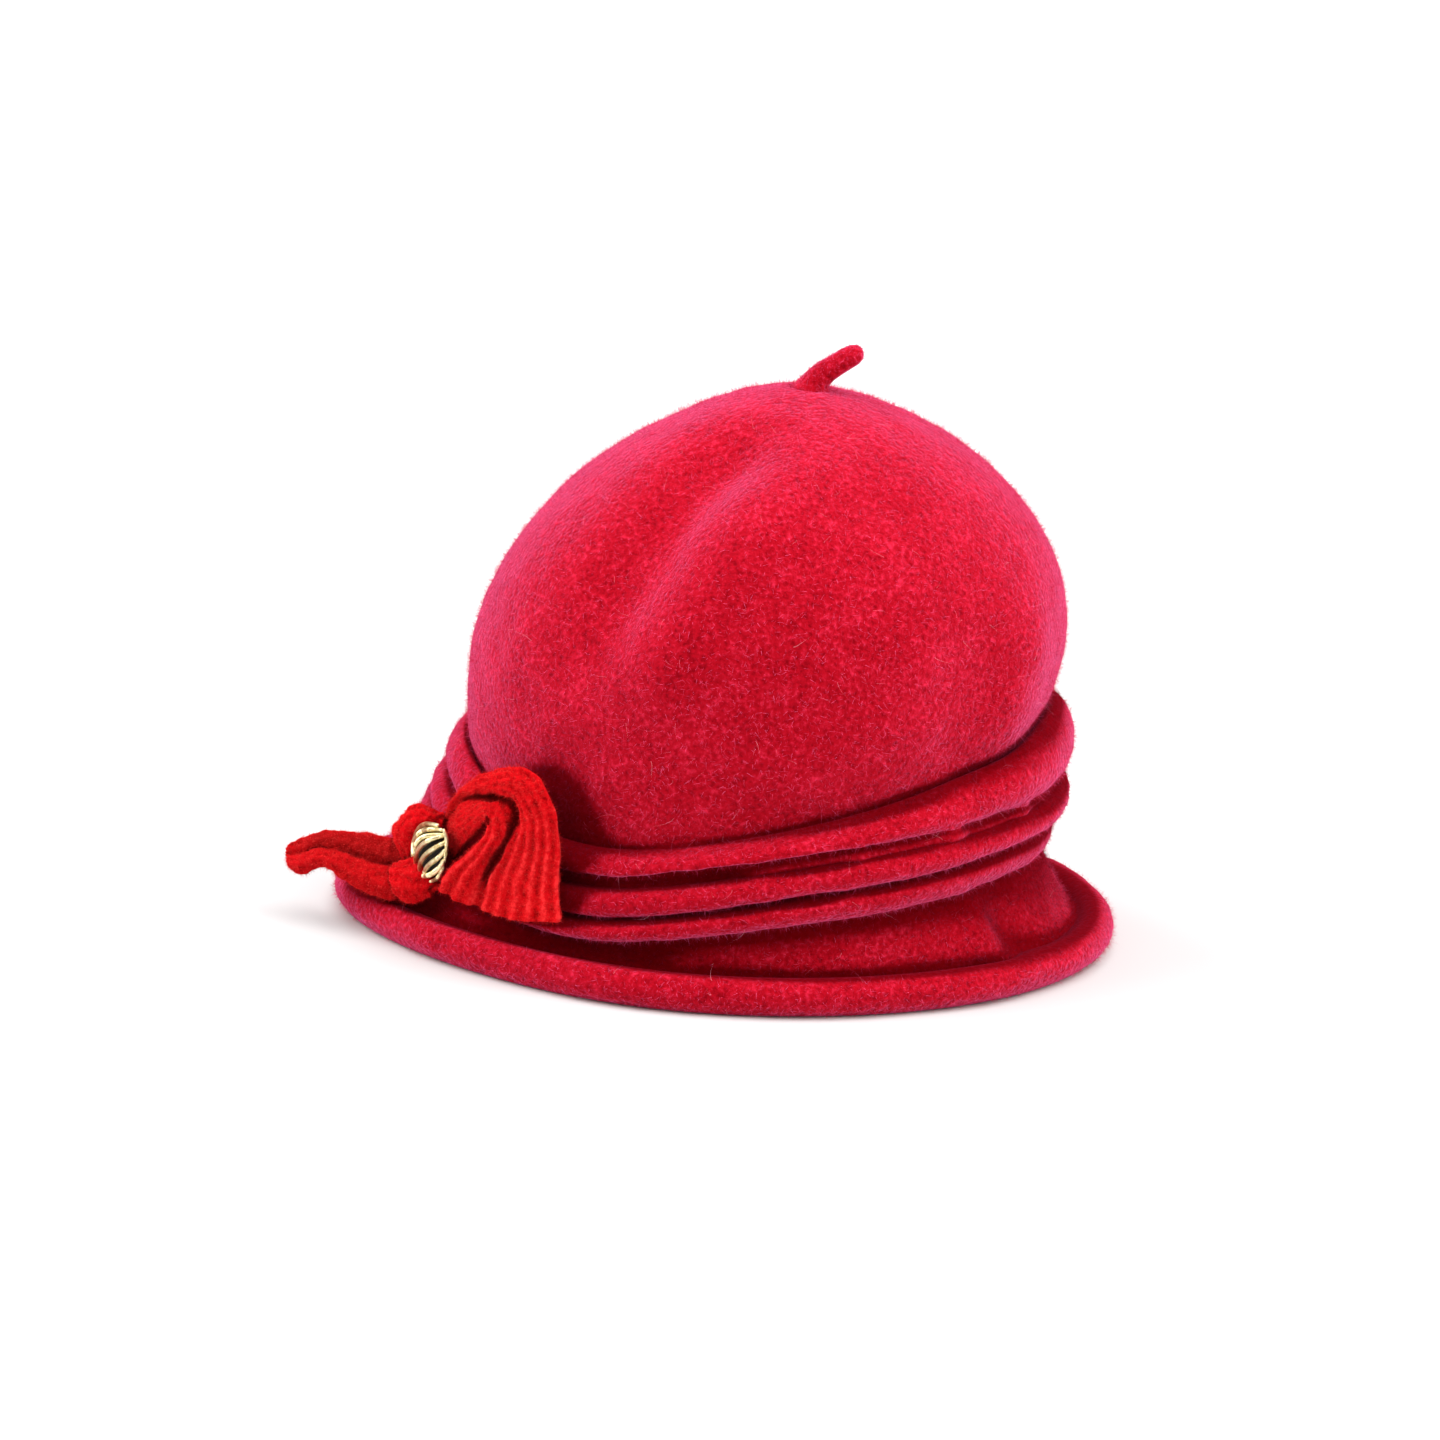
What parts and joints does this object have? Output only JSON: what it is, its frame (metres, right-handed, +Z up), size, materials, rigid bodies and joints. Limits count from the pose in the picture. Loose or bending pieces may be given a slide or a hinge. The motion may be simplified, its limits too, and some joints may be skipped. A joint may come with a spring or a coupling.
{
  "type": "cloche hat",
  "caption": "Felt cloche hat with a slouched crown, tucks round its foot, a narrow rolled brim, a crown stalk and a ribbed ribbon bow held by a knot button.",
  "frame": {"origin": "on the surface the hat stands on, under the middle of its whole length and width", "axes": "+Z up from the brim to the crown; -Y towards the front of the hat, where the bow is; +X towards the wearer's left"},
  "size_m": [0.2088, 0.2793, 0.2005],
  "materials": {
    "wool_felt": "dense boiled wool felt with a short nap",
    "ribbed_ribbon": "ribbed velvet ribbon",
    "gilt_metal": "gilt, dark in its hollows"
  },
  "bodies": {
    "root": {"felt_body": "wool_felt", "crown_stalk": "wool_felt", "knot_button": "gilt_metal", "bow_fan": "ribbed_ribbon", "bow_fold": "ribbed_ribbon", "bow_tail": "ribbed_ribbon", "bow_loop": "ribbed_ribbon"}
  },
  "joints": []
}
